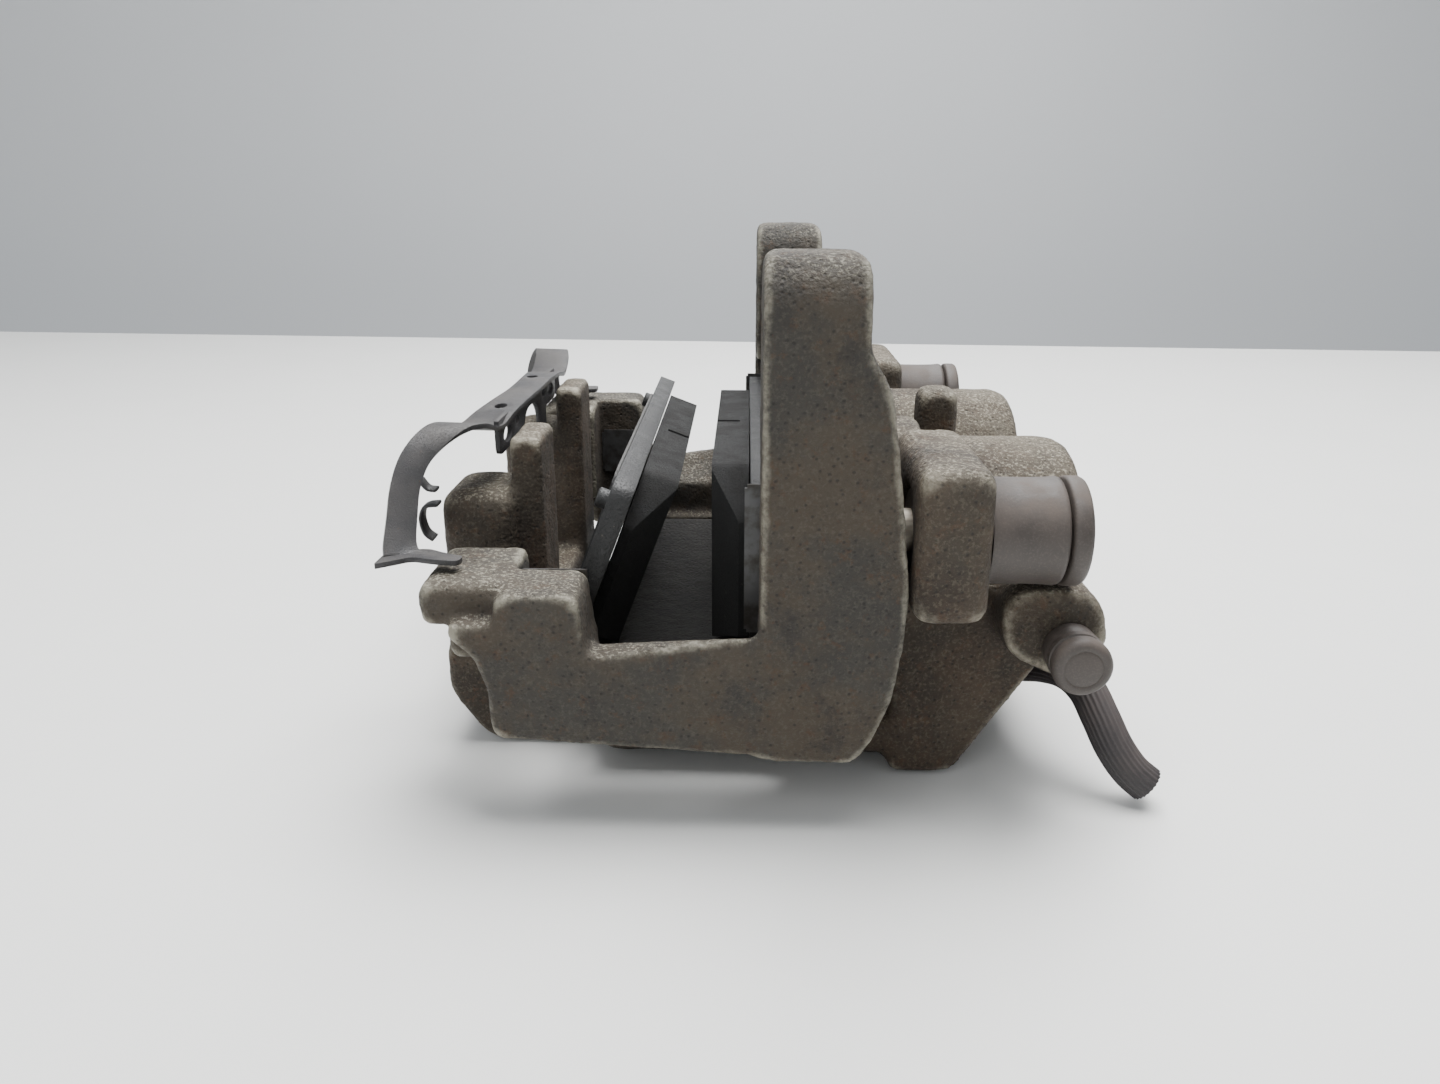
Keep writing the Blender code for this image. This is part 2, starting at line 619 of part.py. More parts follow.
def retaining_spring():
    """A pressed steel spring: a band along the finger tips, a window-cut web hooked behind
    them, and a strap at each end that runs out and down to a foot on the carrier."""
    band_z = 0.0965
    rows = [((-0.0845, -0.0560, band_z), (-0.0705, -0.0560, band_z)),
            ((-0.0835, -0.0440, band_z - 0.0020), (-0.0700, -0.0440, band_z - 0.0020)),
            ((-0.0790, -0.0200, band_z), (-0.0680, -0.0200, band_z)),
            ((-0.0770, 0.0200, band_z), (-0.0665, 0.0200, band_z)),
            ((-0.0790, 0.0460, band_z - 0.0015), (-0.0670, 0.0460, band_z - 0.0015)),
            ((-0.0800, 0.0560, band_z + 0.0010), (-0.0680, 0.0560, band_z + 0.0010))]
    near_end = [((-0.0955 + 0.0010, -0.0870, 0.0700), (-0.0850, -0.0800, 0.0690)),
                ((-0.0965 + 0.0020, -0.0800, 0.0780), (-0.0855, -0.0750, 0.0770)),
                ((-0.0955 + 0.0010, -0.0740, 0.0880), (-0.0860, -0.0690, 0.0870)),
                ((-0.0920, -0.0680, 0.0960), (-0.0810, -0.0640, 0.0945)),
                ((-0.0880, -0.0620, 0.0985), (-0.0750, -0.0600, 0.0980))]
    far_end = [((-0.0800, 0.0640, 0.1010), (-0.0670, 0.0630, 0.1000)),
               ((-0.0850, 0.0700, 0.0975), (-0.0720, 0.0690, 0.0970)),
               ((-0.0890, 0.0760, 0.0890), (-0.0760, 0.0740, 0.0890)),
               ((-0.0880, 0.0830, 0.0820), (-0.0740, 0.0800, 0.0820))]
    thickness = 0.0016
    main = piece("retaining_spring", strap("strap", near_end + rows + far_end, thickness), dark_steel())
    web_outline = rounded([(-0.0470, 0.0955, 0.0), (0.0440, 0.0955, 0.0), (0.0440, 0.0865, 0.002),
                           (0.0255, 0.0865, 0.001), (0.0240, 0.0700, 0.006), (-0.0240, 0.0700, 0.006),
                           (-0.0255, 0.0865, 0.001), (-0.0470, 0.0865, 0.002)], 3)
    web = prism(web_outline, "X", -0.0722, -0.0708, "web")
    near_foot = rounded([(-0.0965 + 0.0017, -0.0930, 0.001), (-0.0870, -0.0860, 0.003), (-0.0725, -0.0890, 0.001),
                         (-0.0735, -0.0800, 0.001), (-0.0845, -0.0790, 0.003), (-0.0940, -0.0800, 0.002)], 2)
    far_foot = rounded([(-0.0890, 0.0790, 0.001), (-0.0600, 0.0830, 0.001), (-0.0600, 0.0930, 0.001),
                        (-0.0890, 0.0950, 0.002)], 2)
    feet = [prism(near_foot, "Z", 0.0682, 0.0698, "near_foot"), prism(far_foot, "Z", 0.0804, 0.0820, "far_foot")]
    windows = []
    for middle, half, low, high in ((0.0, 0.0150, 0.0760, 0.0900), (-0.0310, 0.0070, 0.0884, 0.0926),
                                    (0.0310, 0.0070, 0.0884, 0.0926)):
        opening = rounded([(middle - half, low, 0.001), (middle + half, low, 0.001),
                           (middle + half, high, 0.002), (middle - half, high, 0.002)], 3)
        windows.append(prism(opening, "X", -0.0760, -0.0690, "window"))
    combine(main, "UNION", [web, *feet])
    combine(main, "DIFFERENCE", windows)


# ---------------------------------------------------------------- guide pins

def guide_pin(side):
    """The bolt that the housing slides on, screwed into the carrier; its socket head,
    the rubber bush round it in the housing's lug, and the cap over the bush."""
    y = SIDES[side] * BOLT_Y
    head_x = BUSH_END_X - 0.0010
    pin = turned("guide_pin_" + side, [
        (0.0, head_x), (0.0078, head_x), (0.0082, head_x - 0.0005), (0.0082, head_x - 0.0080),
        (PIN_RADIUS, head_x - 0.0080), (PIN_RADIUS, 0.0145), (PIN_RADIUS - 0.001, 0.0135), (0.0, 0.0135),
    ], (0, y, PIN_Z), (1, 0, 0), bright_steel(), 24)
    combine(pin, "DIFFERENCE", [rod((head_x - 0.005, y, PIN_Z), (head_x + 0.002, y, PIN_Z), 0.0040, 6,
                                    name="socket_" + side)])
    inner = PIN_RADIUS + FIT_GAP
    turned("guide_bush_" + side, [
        (BUSH_RADIUS, BUSH_END_X), (BUSH_RADIUS, LUG_X[1] + FIT_GAP), (0.0105, LUG_X[1] + FIT_GAP),
        (0.0105, LUG_X[0] + 0.001), (inner, LUG_X[0] + 0.001), (inner, head_x - 0.0140), (0.0090, head_x - 0.0140),
        (0.0090, BUSH_END_X),
    ], (0, y, PIN_Z), (1, 0, 0), black_rubber(), 28)
    turned("guide_cap_" + side, [
        (0.0, CAP_END_X), (BUSH_RADIUS - 0.001, CAP_END_X), (BUSH_RADIUS, CAP_END_X - 0.001),
        (BUSH_RADIUS, BUSH_END_X + 0.0018), (BUSH_RADIUS - 0.0012, BUSH_END_X + 0.0014),
        (BUSH_RADIUS - 0.0012, BUSH_END_X + FIT_GAP), (0.0, BUSH_END_X + FIT_GAP),
    ], (0, y, PIN_Z), (1, 0, 0), black_rubber(), 28)


# ---------------------------------------------------------------- bleed screw

def bleed_screw():
    """A hollow nipple with a hexagon, in the boss, and the rubber cap pushed over it."""
    at = (BLEED_X, BOSS_FACE_Y, BLEED_Z)
    out = (0, -1, 0)
    nipple = turned("bleed_screw", [
        (0.0, 0.0118), (0.0022, 0.0118), (0.0030, 0.0104), (0.0030, 0.0092), (0.0023, 0.0086), (0.0026, 0.0044),
        (0.0042, 0.0040), (0.0042, -0.0120), (0.0010, -0.0165), (0.0, -0.0165),
    ], at, out, bright_steel(), 16)
    hexagon = rod((BLEED_X, BOSS_FACE_Y - 0.0006, BLEED_Z), (BLEED_X, BOSS_FACE_Y - 0.0040, BLEED_Z), 0.0052, 6,
                  name="hexagon")
    passage = rod((BLEED_X, BOSS_FACE_Y - 0.0130, BLEED_Z), (BLEED_X, BOSS_FACE_Y - 0.0010, BLEED_Z), 0.0010, 8,
                  name="passage")
    combine(nipple, "UNION", [hexagon])
    combine(nipple, "DIFFERENCE", [passage])
    turned("bleed_cap", [
        (0.0, 0.0140), (0.0058, 0.0140), (0.0074, 0.0128), (0.0076, 0.0100), (0.0066, 0.0094), (0.0066, 0.0084),
        (0.0076, 0.0078), (0.0076, 0.0007), (0.0056, 0.0007), (0.0056, 0.0046), (0.0034, 0.0050), (0.0034, 0.0122),
        (0.0, 0.0122),
    ], at, out, black_rubber(), 28)


# ---------------------------------------------------------------- hose

def washer(name, low_x):
    turned(name, [(0.0080, 0.0012), (0.0080, 0.0), (0.0053, 0.0), (0.0053, 0.0012)],
           (low_x, 0, BANJO_Z), (1, 0, 0), material("copper", (0.40, 0.22, 0.13), 0.45, 0.9), 20)


def smooth_route(points, count):
    """Evenly spread points on a smooth curve through the route's points."""
    spread = []
    ends = [points[0], *points, points[-1]]
    for before, first, second, after in zip(ends, ends[1:], ends[2:], ends[3:]):
        p, q, r, s = (Vector(point) for point in (before, first, second, after))
        for step in range(12):
            t = step / 12
            spread.append(0.5 * (2 * q + (r - p) * t + (2 * p - 5 * q + 4 * r - s) * t ** 2
                                 + (3 * q - p - 3 * r + s) * t ** 3))
    spread.append(Vector(points[-1]))
    lengths = [0.0]
    for first, second in zip(spread, spread[1:]):
        lengths.append(lengths[-1] + (second - first).length)
    route = []
    for index in range(count):
        want = lengths[-1] * index / (count - 1)
        place = next(i for i, length in enumerate(lengths) if length >= want - 1e-9)
        back = max(place - 1, 0)
        span = (lengths[place] - lengths[back]) or 1.0
        route.append(spread[back].lerp(spread[place], (want - lengths[back]) / span if place else 0.0))
    return route


def brake_hose():
    """A banjo bolt with two copper washers holds the hose's eye on the housing; the hose
    runs from its crimped ferrule past the near cylinder to a cut end on the resting plane."""
    washer_x = BANJO_FACE_X + FIT_GAP
    eye_x = washer_x + 0.0012 + FIT_GAP
    eye_end = eye_x + 0.0090
    middle_x = (eye_x + eye_end) / 2
    washer("banjo_washer_inner", washer_x)
    washer("banjo_washer_outer", eye_end + FIT_GAP)
    head_x = eye_end + 0.0012 + 2 * FIT_GAP
    shank = turned("banjo_bolt", [
        (0.0, head_x + 0.0050), (0.0066, head_x + 0.0050), (0.0066, head_x), (0.0050, head_x), (0.0050, 0.0620),
        (0.0, 0.0620),
    ], (0, 0, BANJO_Z), (1, 0, 0), bright_steel(), 20)
    combine(shank, "UNION", [rod((head_x + 0.0004, 0, BANJO_Z), (head_x + 0.0054, 0, BANJO_Z), 0.0076, 6,
                                 name="bolt_head")])
    eye = piece("hose_fitting", rod((eye_x, 0, BANJO_Z), (eye_end, 0, BANJO_Z), 0.0085, 28, name="eye"),
                bright_steel())
    neck = rod((middle_x, -0.0060, BANJO_Z), (middle_x, -0.0150, BANJO_Z), 0.0038, 20, name="neck")
    ferrule = rod((middle_x, -0.0130, BANJO_Z), (middle_x, -0.0315, BANJO_Z), 0.0064, 24, 0.0006, "ferrule")
    combine(eye, "UNION", [neck, ferrule])
    combine(eye, "DIFFERENCE", [rod((eye_x - 0.01, 0, BANJO_Z), (eye_end + 0.01, 0, BANJO_Z), 0.0053, 20,
                                    name="eye_hole")])
    line = bpy.data.curves.new("brake_hose", "CURVE")
    line.dimensions = "3D"
    line.bevel_depth = HOSE_RADIUS
    line.bevel_resolution = 3
    line.use_fill_caps = True
    route = smooth_route(HOSE_ROUTE, HOSE_POINTS)
    spline = line.splines.new("POLY")
    spline.points.add(len(route) - 1)
    for point, place in zip(spline.points, route):
        point.co = (*place, 1)
    line.materials.append(black_rubber())
    put(bpy.data.objects.new("brake_hose", line), PARTS)


# ---------------------------------------------------------------- assembly

start_scene()
carrier()
housing()
for side_name in SIDES:
    piston(side_name)
    guide_pin(side_name)
    abutment_clip(side_name, "inner", 0.0005, 0.0118, 0.0890)
    abutment_clip(side_name, "outer", -0.0585, -0.0415, 0.0655)
inner_pad()
outer_pad()
retaining_spring()
bleed_screw()
brake_hose()
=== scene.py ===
import math

import bmesh
import bpy
import numpy as np
from mathutils import Matrix, Vector, noise


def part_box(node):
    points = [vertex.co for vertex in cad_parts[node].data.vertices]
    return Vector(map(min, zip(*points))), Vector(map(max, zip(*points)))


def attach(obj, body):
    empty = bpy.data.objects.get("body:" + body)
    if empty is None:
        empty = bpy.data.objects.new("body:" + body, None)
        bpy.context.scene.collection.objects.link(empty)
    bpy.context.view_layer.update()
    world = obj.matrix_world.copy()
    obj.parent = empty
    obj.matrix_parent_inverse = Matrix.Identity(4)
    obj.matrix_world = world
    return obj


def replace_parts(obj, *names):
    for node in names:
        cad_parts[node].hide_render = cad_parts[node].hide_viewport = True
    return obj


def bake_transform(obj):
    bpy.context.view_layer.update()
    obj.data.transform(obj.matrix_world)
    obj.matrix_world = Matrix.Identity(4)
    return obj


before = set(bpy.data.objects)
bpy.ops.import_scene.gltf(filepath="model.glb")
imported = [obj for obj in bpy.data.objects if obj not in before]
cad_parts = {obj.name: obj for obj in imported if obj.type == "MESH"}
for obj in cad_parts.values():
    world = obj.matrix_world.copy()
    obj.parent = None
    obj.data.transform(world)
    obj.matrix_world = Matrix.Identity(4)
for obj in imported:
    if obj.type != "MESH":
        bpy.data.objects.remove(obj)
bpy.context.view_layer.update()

# ---------------------------------------------------------------- camera
# A hand-held look along the disc's edge at the near ear, about 34 cm away and 16 cm up, tipped down.
CAMERA_PLACE = (0.0, -0.344, 0.162)
CAMERA_LOOK = (-0.0236, 0.9466, -0.3214)
lens = bpy.data.cameras.new("bench_camera")
lens.lens = 26.5
lens.sensor_width = 36.0
lens.clip_start = 0.01
camera = bpy.data.objects.new("bench_camera", lens)
bpy.context.scene.collection.objects.link(camera)
camera.location = CAMERA_PLACE
camera.rotation_euler = Vector(CAMERA_LOOK).to_track_quat("-Z", "Y").to_euler()
bpy.context.scene.camera = camera


# ---------------------------------------------------------------- brake hose
# The flexible brake hose, cut short: black rubber with fine ribs along its outside and a small bore
# in its cut end. It starts at its crimped ferrule, and its cut end lies on the bench.
MM = 0.001


def link(mesh, name, material):
    """A new object at the origin, with its place in its mesh and one material."""
    obj = bpy.data.objects.new(name, mesh)
    bpy.context.scene.collection.objects.link(obj)
    mesh.materials.clear()
    mesh.materials.append(material)
    return obj


def shade(mesh):
    """Smooth shading on every face."""
    mesh.polygons.foreach_set("use_smooth", [True] * len(mesh.polygons))
    mesh.update()


def new_material(name, roughness, metallic=0.0):
    """A material with a Principled shader, its tree, and a texture coordinate on the object's own axes."""
    material = bpy.data.materials.new(name)
    material.use_nodes = True
    tree = material.node_tree
    shader = tree.nodes["Principled BSDF"]
    shader.inputs["Roughness"].default_value = roughness
    shader.inputs["Metallic"].default_value = metallic
    place = tree.nodes.new("ShaderNodeTexCoord").outputs["Object"]
    return material, tree, shader, place


def group(name, inputs, outputs):
    """An empty shader node group with its named sockets."""
    tree = bpy.data.node_groups.new(name, "ShaderNodeTree")
    for label, kind, value in inputs:
        socket = tree.interface.new_socket(label, in_out="INPUT", socket_type="NodeSocket" + kind)
        if value is not None:
            socket.default_value = value
    for label, kind in outputs:
        tree.interface.new_socket(label, in_out="OUTPUT", socket_type="NodeSocket" + kind)
    return tree, tree.nodes.new("NodeGroupInput").outputs, tree.nodes.new("NodeGroupOutput").inputs


def noise_at(tree, place, scale, detail=4.0, roughness=0.55):
    """Noise from 0 to 1. The scale is a number or a socket."""
    node = tree.nodes.new("ShaderNodeTexNoise")
    node.inputs["Detail"].default_value = detail
    node.inputs["Roughness"].default_value = roughness
    tree.links.new(place, node.inputs["Vector"])
    if isinstance(scale, (int, float)):
        node.inputs["Scale"].default_value = scale
    else:
        tree.links.new(scale, node.inputs["Scale"])
    return node.outputs["Fac"]


def math_of(tree, operation, a, b=None, clamp=False):
    """One Math node. Each value is a number or a socket."""
    node = tree.nodes.new("ShaderNodeMath")
    node.operation = operation
    node.use_clamp = clamp
    for socket, value in zip(node.inputs, (a, b)):
        if value is None:
            continue
        if isinstance(value, (int, float)):
            socket.default_value = value
        else:
            tree.links.new(value, socket)
    return node.outputs["Value"]


def times(tree, a, b, clamp=False):
    """The product of two values."""
    return math_of(tree, "MULTIPLY", a, b, clamp)


def stepped(tree, value, low, high, to_low=0.0, to_high=1.0):
    """The value taken from low..high to to_low..to_high with soft ends."""
    node = tree.nodes.new("ShaderNodeMapRange")
    node.interpolation_type = "SMOOTHSTEP"
    for label, amount in (("From Min", low), ("From Max", high), ("To Min", to_low), ("To Max", to_high)):
        node.inputs[label].default_value = amount
    tree.links.new(value, node.inputs["Value"])
    return node.outputs["Result"]


def mixed(tree, amount, first, second):
    """Two colours mixed by a mask; each is a socket or an RGB triple."""
    node = tree.nodes.new("ShaderNodeMix")
    node.data_type = "RGBA"
    for label, value in (("Factor_Float", amount), ("A_Color", first), ("B_Color", second)):
        socket = next(s for s in node.inputs if s.identifier == label)
        if isinstance(value, tuple):
            socket.default_value = (*value, 1.0)
        elif isinstance(value, (int, float)):
            socket.default_value = value
        else:
            tree.links.new(value, socket)
    return next(s for s in node.outputs if s.identifier == "Result_Color")


def placed(tree, node_tree, **values):
    """A node group put in a material, with its inputs linked or set."""
    node = tree.nodes.new("ShaderNodeGroup")
    node.node_tree = node_tree
    for label, value in values.items():
        socket = node.inputs[label]
        if isinstance(value, bpy.types.NodeSocket):
            tree.links.new(value, socket)
        else:
            socket.default_value = value
    return node.outputs


def bumped(tree, shader, height, depth):
    """Surface relief of that depth in metres."""
    node = tree.nodes.new("ShaderNodeBump")
    node.inputs["Strength"].default_value = 1.0
    node.inputs["Distance"].default_value = depth
    tree.links.new(height, node.inputs["Height"])
    tree.links.new(node.outputs["Normal"], shader.inputs["Normal"])


# Brake dust settles in patches, most on what faces up. The group gives a soft mask, fine specks, and
# a crust of specks on flat tops.
dust_fall, tree_in, tree_out = group("dust_fall", [("Place", "Vector", None), ("Scale", "Float", 90.0)],
                                     [("Mask", "Float"), ("Speckle", "Float"), ("Crust", "Float")])
up = dust_fall.nodes.new("ShaderNodeSeparateXYZ")
dust_fall.links.new(dust_fall.nodes.new("ShaderNodeNewGeometry").outputs["Normal"], up.inputs["Vector"])
patches = noise_at(dust_fall, tree_in["Place"], tree_in["Scale"], 5.0, 0.6)
facing = stepped(dust_fall, up.outputs["Z"], -0.2, 1.0, 0.15, 1.0)
settled = stepped(dust_fall, patches, 0.32, 0.68)
dust_fall.links.new(times(dust_fall, facing, settled), tree_out["Mask"])
fine_scale = times(dust_fall, tree_in["Scale"], 26.0)
specks = stepped(dust_fall, noise_at(dust_fall, tree_in["Place"], fine_scale, 3.0, 0.7), 0.50, 0.64)
dust_fall.links.new(specks, tree_out["Speckle"])
flat_top = stepped(dust_fall, up.outputs["Z"], 0.35, 0.95)
caked = times(dust_fall, specks, stepped(dust_fall, patches, 0.30, 0.60, 0.25, 1.0))
dust_fall.links.new(times(dust_fall, flat_top, caked), tree_out["Crust"])


def rubber_finish(name, dark, dusty, amount):
    """Aged black rubber with brown dust rubbed into it."""
    material, tree, shader, place = new_material(name, 0.7)
    dust = placed(tree, dust_fall, Place=place, Scale=70.0)
    thick = times(tree, dust["Mask"], amount, True)
    base = mixed(tree, thick, dark, dusty)
    colour = mixed(tree, times(tree, dust["Speckle"], 0.25), base, dusty)
    tree.links.new(colour, shader.inputs["Base Color"])
    tree.links.new(stepped(tree, dust["Mask"], 0.0, 1.0, 0.55, 0.85), shader.inputs["Roughness"])
    bumped(tree, shader, noise_at(tree, place, 1400.0, 3.0), 0.00006)
    return material


hose_rubber = rubber_finish("ribbed_hose_rubber", (0.022, 0.019, 0.020), (0.075, 0.060, 0.056), 0.9)
HOSE_RADIUS = 0.00525
STEPS_PER_RIB = 4
hose_route = [
    (0.0832, -0.0318, 0.0195), (0.0833, -0.0372, 0.0196), (0.0848, -0.0460, 0.0222),
    (0.0885, -0.0555, 0.0264), (0.0928, -0.0645, 0.0286), (0.0964, -0.0720, 0.0268),
    (0.0989, -0.0785, 0.0215), (0.1019, -0.0832, 0.0150), (0.1060, -0.0860, 0.0094),
    (0.1106, -0.0873, 0.0057)]


def smooth_route(points, steps):
    """Points on a smooth curve through the route's own points."""
    spread = []
    ends = [points[0], *points, points[-1]]
    for before, first, second, after in zip(ends, ends[1:], ends[2:], ends[3:]):
        p, q, r, s = (Vector(point) for point in (before, first, second, after))
        for step in range(steps):
            t = step / steps
            spread.append(0.5 * (2 * q + (r - p) * t + (2 * p - 5 * q + 4 * r - s) * t ** 2
                                 + (3 * q - p - 3 * r + s) * t ** 3))
    spread.append(Vector(points[-1]))
    return spread


def ribbed_tube(line, radius, ribs, depth, bore, sunk):
    """A closed tube along the line with ribs along it, and a round bore sunk into its far end."""
    made = bmesh.new()
    across = ribs * STEPS_PER_RIB
    side = Vector((0.0, 0.0, 1.0))
    rings = []
    for index, point in enumerate(line):
        ahead = (line[min(index + 1, len(line) - 1)] - line[max(index - 1, 0)]).normalized()
        side = (side - ahead * side.dot(ahead)).normalized()
        rings.append((point, side.copy(), ahead.cross(side)))
    end, side_axis, other_axis = rings[-1]
    ahead = (line[-1] - line[-2]).normalized()
    cut_face = end + ahead * 0.1 * MM
    rim = radius - 0.9 * MM

    def ring(point, a, b, reach, ribbed):
        verts = []
        for step in range(across):
            turn = 2 * math.pi * step / across
            out = reach - (depth * (0.5 + 0.5 * math.cos(ribs * turn)) if ribbed else 0.0)
            verts.append(made.verts.new(point + a * (out * math.cos(turn)) + b * (out * math.sin(turn))))
        return verts

    loops = [ring(*rings[0], radius * 0.93, False)]
    loops += [ring(*place, radius, True) for place in rings]
    loops.append(ring(cut_face, side_axis, other_axis, rim, False))
    loops.append(ring(cut_face, side_axis, other_axis, bore, False))
    loops.append(ring(end - ahead * sunk, side_axis, other_axis, bore * 0.96, False))
    for first, second in zip(loops, loops[1:]):
        for step in range(across):
            after = (step + 1) % across
            made.faces.new((first[step], first[after], second[after], second[step]))
    made.faces.new(loops[0][::-1])
    made.faces.new(loops[-1])
    bmesh.ops.recalc_face_normals(made, faces=made.faces)
    mesh = bpy.data.meshes.new("brake_hose_stub")
    made.to_mesh(mesh)
    made.free()
    shade(mesh)
    return mesh


hose_line = smooth_route(hose_route, steps=8)
hose_mesh = ribbed_tube(hose_line, HOSE_RADIUS, ribs=22, depth=0.00045, bore=0.0017, sunk=0.009)
hose = link(hose_mesh, "brake_hose_stub", hose_rubber)
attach(hose, "housing")
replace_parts(hose, "brake_hose")


# ---------------------------------------------------------------- carrier bracket and housing
# Two sand castings in iron. The mould leaves a grainy skin with soft corners; years of brake dust
# and light rust have browned it, and handling has rubbed the corners down to pale grey.
WELD_DISTANCE = 0.005 * MM
EDGE_GAIN = 9.0
COARSE_GRAIN, FINE_GRAIN = 260.0, 620.0


def merged_copy(node, name):
    """A welded copy of a CAD node's mesh."""
    made = bmesh.new()
    made.from_mesh(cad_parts[node].data)
    bmesh.ops.remove_doubles(made, verts=made.verts, dist=WELD_DISTANCE)
    mesh = bpy.data.meshes.new(name)
    made.to_mesh(mesh)
    made.free()
    return mesh


def worn_casting(node, name, voxel, softening, roughness, material):
    """The casting's rough skin over the CAD shape. Its stored "edge" is high on outer corners, and its
    "hollow" is high on inner ones."""
    obj = link(merged_copy(node, name), name, material)
    skin = obj.modifiers.new("skin", "REMESH")
    skin.mode = "VOXEL"
    skin.voxel_size = voxel
    bpy.context.view_layer.update()
    mesh = bpy.data.meshes.new_from_object(obj.evaluated_get(bpy.context.evaluated_depsgraph_get()))
    obj.modifiers.clear()
    obj.data = mesh
    count = len(mesh.vertices)
    places = np.empty(count * 3, np.float64)
    mesh.vertices.foreach_get("co", places)
    places = places.reshape(-1, 3)
    ends = np.empty(len(mesh.edges) * 2, np.int64)
    mesh.edges.foreach_get("vertices", ends)
    first, second = ends.reshape(-1, 2).T
    near = np.bincount(first, minlength=count) + np.bincount(second, minlength=count)

    def around(values):
        """The mean of each vertex's neighbours."""
        columns = []
        for column in values.reshape(count, -1).T:
            total = np.bincount(first, column[second], count) + np.bincount(second, column[first], count)
            columns.append(total / np.maximum(near, 1))
        return np.stack(columns, 1).reshape(values.shape)

    def set_places():
        mesh.vertices.foreach_set("co", places.astype(np.float32).ravel())
        mesh.update()

    for _ in range(softening):
        places += 0.5 * (around(places) - places)
    set_places()
    normals = np.empty(count * 3, np.float32)
    mesh.vertex_normals.foreach_get("vector", normals)
    normals = normals.reshape(-1, 3).astype(np.float64)
    bulge = ((places - around(places)) * normals).sum(1) / voxel
    for _ in range(3):
        bulge = around(bulge)
    for label, sign in (("edge", 1.0), ("hollow", -1.0)):
        layer = mesh.attributes.new(label, "FLOAT", "POINT")
        layer.data.foreach_set("value", np.clip(sign * bulge * EDGE_GAIN, 0.0, 1.0).astype(np.float32))
    coarse = np.array([noise.noise(Vector(p) * COARSE_GRAIN) for p in places])
    fine = np.array([noise.noise(Vector(p) * FINE_GRAIN) for p in places])
    grain = 0.6 * coarse + 0.4 * fine
    places += normals * (grain * roughness)[:, None]
    set_places()
    shade(mesh)
    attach(obj, node)
    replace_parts(obj, node)
    return obj


# Sand-cast relief: broad unevenness, grains, and small pits.
cast_skin, tree_in, tree_out = group("cast_skin", [("Place", "Vector", None), ("Grain", "Float", 900.0)],
                                     [("Height", "Float"), ("Pits", "Float")])
grains = noise_at(cast_skin, tree_in["Place"], tree_in["Grain"], 3.0, 0.6)
cells = cast_skin.nodes.new("ShaderNodeTexVoronoi")
cells.inputs["Randomness"].default_value = 1.0
cast_skin.links.new(tree_in["Place"], cells.inputs["Vector"])
cast_skin.links.new(times(cast_skin, tree_in["Grain"], 0.55), cells.inputs["Scale"])
broad = noise_at(cast_skin, tree_in["Place"], times(cast_skin, tree_in["Grain"], 0.16), 3.0)
pits = stepped(cast_skin, cells.outputs["Distance"], 0.05, 0.32)
relief = math_of(cast_skin, "ADD", times(cast_skin, grains, 0.55), times(cast_skin, broad, 0.9))
relief = math_of(cast_skin, "ADD", relief, times(cast_skin, pits, 0.22))
cast_skin.links.new(relief, tree_out["Height"])
cast_skin.links.new(pits, tree_out["Pits"])

# Worn corners: the stored edge value broken up by noise, so that the pale metal shows in flecks. The stored
# hollow value is passed on for painted shade in inner corners.
wear_and_corner_shade, tree_in, tree_out = group("wear_and_corner_shade", [("Place", "Vector", None), ("Amount", "Float", 1.0)],
                                     [("Mask", "Float"), ("Hollow", "Float")])
stored = {}
for label in ("edge", "hollow"):
    reader = wear_and_corner_shade.nodes.new("ShaderNodeAttribute")
    reader.attribute_name = label
    stored[label] = reader.outputs["Fac"]
drift = times(wear_and_corner_shade, noise_at(wear_and_corner_shade, tree_in["Place"], 60.0, 2.0), 0.7)
flecks = math_of(wear_and_corner_shade, "ADD", noise_at(wear_and_corner_shade, tree_in["Place"], 420.0, 4.0, 0.7), drift)
worn = times(wear_and_corner_shade, times(wear_and_corner_shade, stored["edge"], tree_in["Amount"]), flecks)
wear_and_corner_shade.links.new(stepped(wear_and_corner_shade, worn, 0.38, 0.95), tree_out["Mask"])
wear_and_corner_shade.links.new(stored["hollow"], tree_out["Hollow"])


# Painted shade with soot: the mouth over the disc's edge, where rain never reaches, is darkened to near
# black.
# Each of its limits is an axis, where the darkening has faded out, and where it is full. Y counts from the
# middle, both ways.
SOOT_AND_SHADE = (0.003, 0.003, 0.003)
SOOT_AND_SHADE_LIMITS = (("Z", 0.048, 0.040), ("Z", 0.012, 0.016), ("X", -0.064, -0.056), ("X", 0.022, 0.016),
               ("Y", 0.075, 0.070))
OIL_STAIN = (0.012, 0.010, 0.009)
PIT_DIRT = (0.010, 0.008, 0.007)
# Painted shade for inner corners, darkest where the stored hollow value is high.
PAINTED_CORNER_SHADE = (0.016, 0.012, 0.010)


